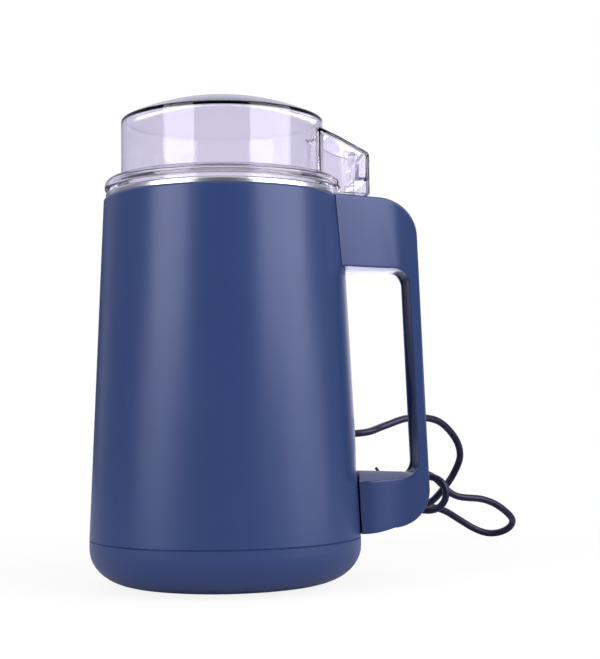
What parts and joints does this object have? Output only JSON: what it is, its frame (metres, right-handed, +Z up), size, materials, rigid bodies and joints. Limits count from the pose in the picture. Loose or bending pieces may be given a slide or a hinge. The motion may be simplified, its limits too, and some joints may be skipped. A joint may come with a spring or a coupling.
{
  "type": "electric coffee grinder",
  "caption": "Tapered jug-shaped blade coffee grinder with a side handle, a clear domed lid whose tab presses a switch in the handle, a steel bowl and a power cord.",
  "frame": {"origin": "centre of the rubber ring's underside, on the body's axis at table level", "axes": "+Z up along the body's axis, +X towards the handle, +Y to the side where the cord leaves the body"},
  "size_m": [0.2184, 0.2179, 0.1989],
  "materials": {
    "navy_plastic": "satin moulded",
    "clear_plastic": "clear, lightly smoked",
    "bowl_steel": "drawn and polished",
    "black_plastic": "satin",
    "grey_plastic": "moulded",
    "rubber": "matt",
    "zinc_steel": "zinc plated",
    "lamination_steel": "punched sheet",
    "copper_wire": "enamelled copper",
    "brass": "turned",
    "aluminium": "die cast",
    "carbon": "sintered carbon",
    "red_plastic": "moulded",
    "cord_rubber": "smooth",
    "wire_cover": "smooth"
  },
  "bodies": {
    "housing": {"body_shell": "navy_plastic", "base_cover": "navy_plastic", "foot_ring": "rubber", "base_screws": "zinc_steel", "steel_bowl": "bowl_steel", "shaft_seal": "rubber", "bowl_carrier": "grey_plastic", "carrier_screws": "zinc_steel", "handle_shell": "navy_plastic", "handle_inner_cover": "navy_plastic", "handle_screws": "zinc_steel", "plunger_spring": "zinc_steel", "switch_holder": "grey_plastic", "microswitch": "black_plastic", "motor_dampers": "rubber", "motor_screws": "zinc_steel", "upper_bracket": "aluminium", "lower_bracket": "aluminium", "through_bolts": "zinc_steel", "stator_core": "lamination_steel", "field_coils": "copper_wire", "upper_bush": "brass", "lower_bush": "brass", "brush_holders": "brass", "carbon_brushes": "carbon", "brush_springs": "zinc_steel", "strain_relief": "rubber", "inner_lead": "cord_rubber", "lead_wires": "wire_cover", "power_cord": "cord_rubber", "cord_coil": "cord_rubber", "cord_tie": "grey_plastic", "plug_body": "cord_rubber", "plug_pins": "brass"},
    "push_rod": {"switch_plunger": "black_plastic", "switch_button": "red_plastic"},
    "lid": {"lid": "clear_plastic"},
    "rotor": {"motor_shaft": "zinc_steel", "armature_core": "lamination_steel", "armature_windings": "copper_wire", "commutator": "copper_wire", "cooling_fan": "black_plastic", "blade_collar": "brass", "blade": "bowl_steel", "blade_nut": "bowl_steel"}
  },
  "joints": [
    {"name": "push_rod_press", "type": "slide", "parent": "housing", "child": "push_rod", "axis": [0, 0, 1], "range_m": [-0.001, 0], "stiffness_N_per_m": 500, "springref_m": 0.004, "deforming": ["plunger_spring"]},
    {"name": "lid_lift", "type": "slide", "parent": "push_rod", "child": "lid", "axis": [0, 0, 1], "range_m": [0, 0.11]},
    {"name": "motor_spin", "type": "hinge", "parent": "housing", "child": "rotor", "pos_m": [0, 0, 0.06], "axis": [0, 0, 1], "continuous": true}
  ]
}
